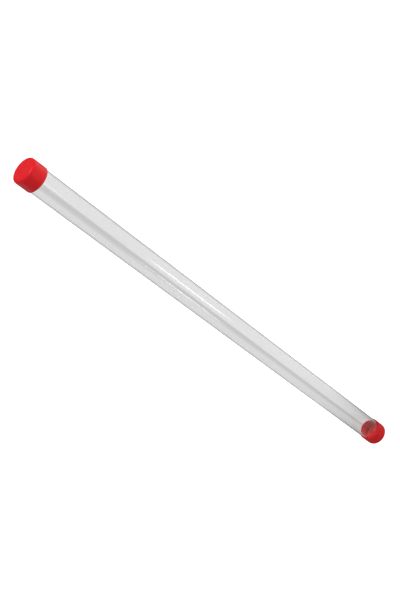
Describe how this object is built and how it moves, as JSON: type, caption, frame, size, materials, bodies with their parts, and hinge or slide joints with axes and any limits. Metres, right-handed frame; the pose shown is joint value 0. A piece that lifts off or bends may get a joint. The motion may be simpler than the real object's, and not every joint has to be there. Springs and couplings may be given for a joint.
{
  "type": "rain gauge tube",
  "caption": "Long straight clear plastic tube, closed at each end by a soft red push-on cap, for collecting and holding rainwater.",
  "frame": {"origin": "middle of the bottom cap's end face, which the part stands on", "axes": "+Z along the tube's axis, up towards the top cap; X and Y are free, because every piece is round about Z"},
  "size_m": [0.0274, 0.0274, 0.6],
  "materials": {
    "clear_plastic": "clear extruded plastic, smooth, with frosted cut ends",
    "red_vinyl": "semi-gloss soft vinyl"
  },
  "bodies": {
    "tube": {"tube": "clear_plastic"},
    "top_cap": {"top_cap": "red_vinyl"},
    "bottom_cap": {"bottom_cap": "red_vinyl"}
  },
  "joints": [
    {"name": "top_cap_pull", "type": "slide", "parent": "tube", "child": "top_cap", "axis": [0, 0, 1], "range_m": [0, 0.025]},
    {"name": "bottom_cap_pull", "type": "slide", "parent": "tube", "child": "bottom_cap", "axis": [0, 0, -1], "range_m": [0, 0.025]}
  ]
}
